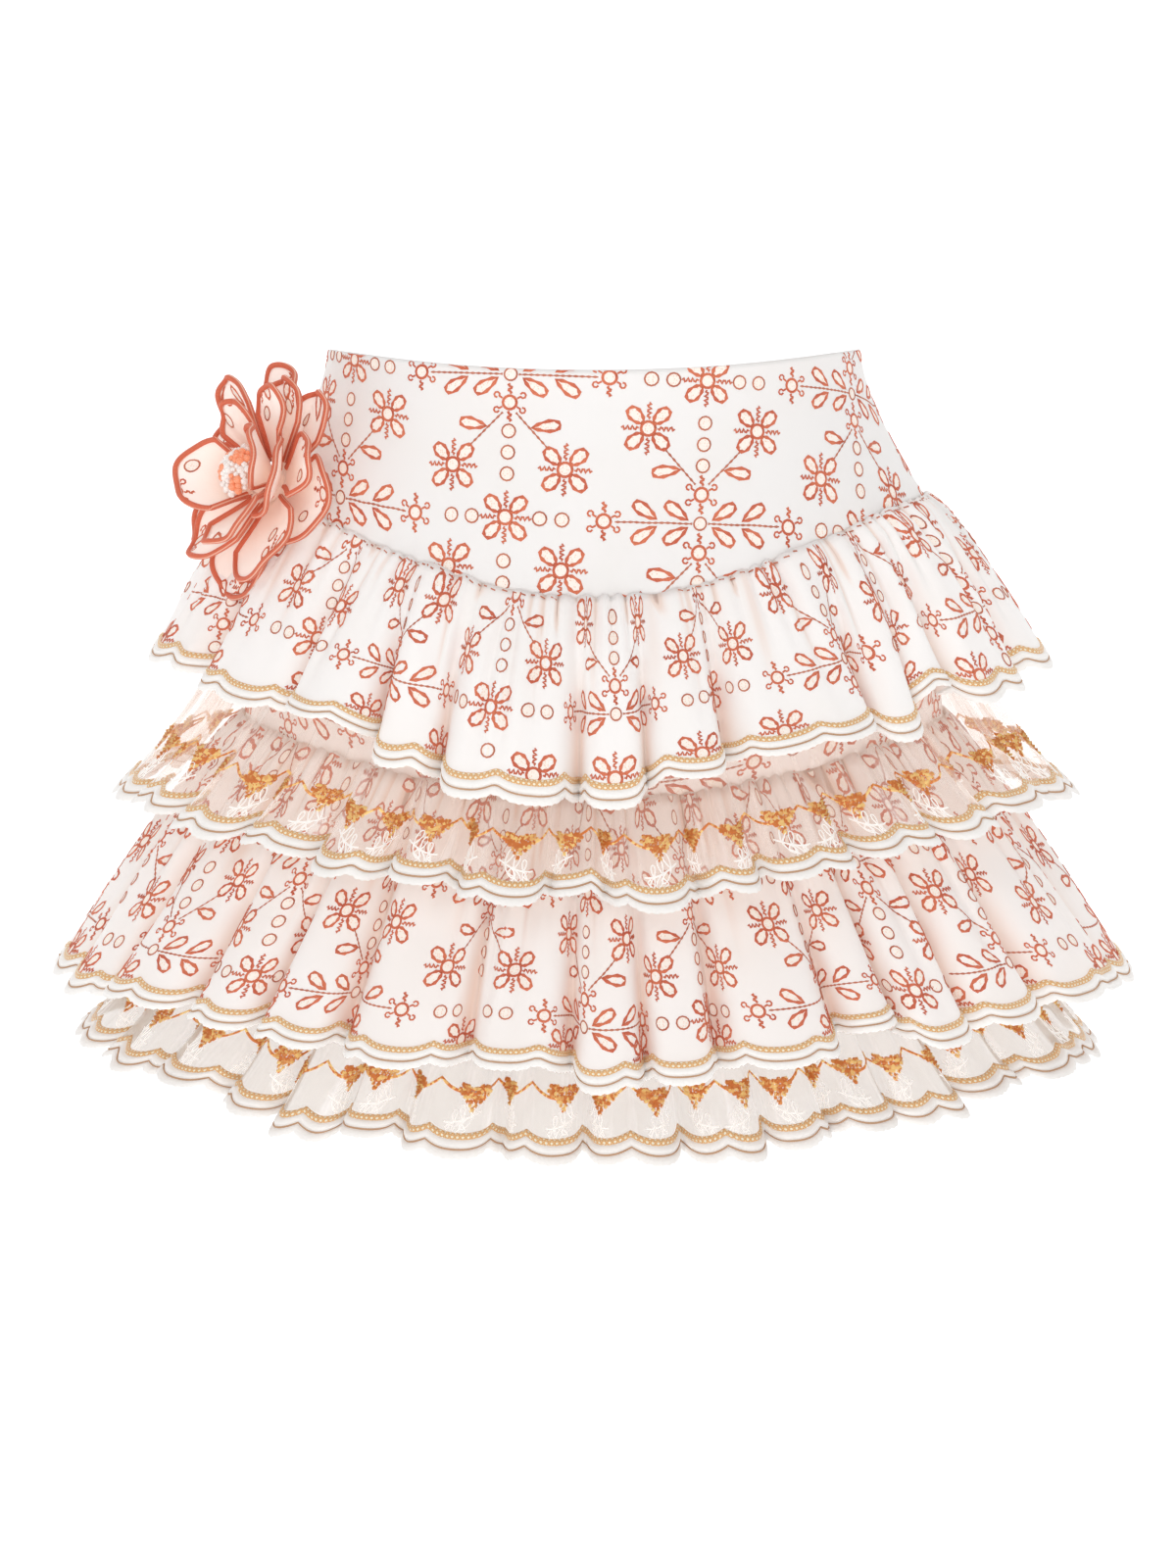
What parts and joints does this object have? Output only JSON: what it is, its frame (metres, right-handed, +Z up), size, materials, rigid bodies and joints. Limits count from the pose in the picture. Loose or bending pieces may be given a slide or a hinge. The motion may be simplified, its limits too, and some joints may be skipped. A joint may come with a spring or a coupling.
{
  "type": "tiered skirt",
  "caption": "Short tiered skirt, filled out and hollow: a fitted hip yoke, embroidered and net gathered tiers with scalloped hems, and a cloth flower at one hip.",
  "frame": {"origin": "middle of the waist opening, at the height of the waist's edge over the side seams", "axes": "+Z up out of the waist, -Y centre front, +X to the left of the wearer, which is the viewer's right"},
  "size_m": [0.5026, 0.4281, 0.3344],
  "materials": {
    "embroidered_cotton": "smooth warm white cotton with raised coral thread",
    "peach_net": "sheer fine net with a soft sheen",
    "petal_cloth": "cream cotton with satin stitched coral edges",
    "beads": "clear and coral glass beads"
  },
  "bodies": {
    "root": {"yoke_front": "embroidered_cotton", "yoke_back_right": "embroidered_cotton", "yoke_back_left": "embroidered_cotton", "underskirt": "embroidered_cotton", "tier1_ruffle": "embroidered_cotton", "tier3_ruffle": "embroidered_cotton", "tier2_net_ruffle": "peach_net", "tier4_net_ruffle": "peach_net", "flower_backing": "petal_cloth", "flower_petal_01": "petal_cloth", "flower_petal_02": "petal_cloth", "flower_petal_03": "petal_cloth", "flower_petal_04": "petal_cloth", "flower_petal_05": "petal_cloth", "flower_petal_06": "petal_cloth", "flower_petal_07": "petal_cloth", "flower_petal_08": "petal_cloth", "flower_petal_09": "petal_cloth", "flower_petal_10": "petal_cloth", "flower_petal_11": "petal_cloth", "flower_petal_12": "petal_cloth", "flower_petal_13": "petal_cloth", "flower_petal_14": "petal_cloth", "flower_petal_15": "petal_cloth", "flower_petal_16": "petal_cloth", "flower_petal_17": "petal_cloth", "flower_petal_18": "petal_cloth", "flower_petal_19": "petal_cloth", "flower_centre": "beads"}
  },
  "joints": []
}
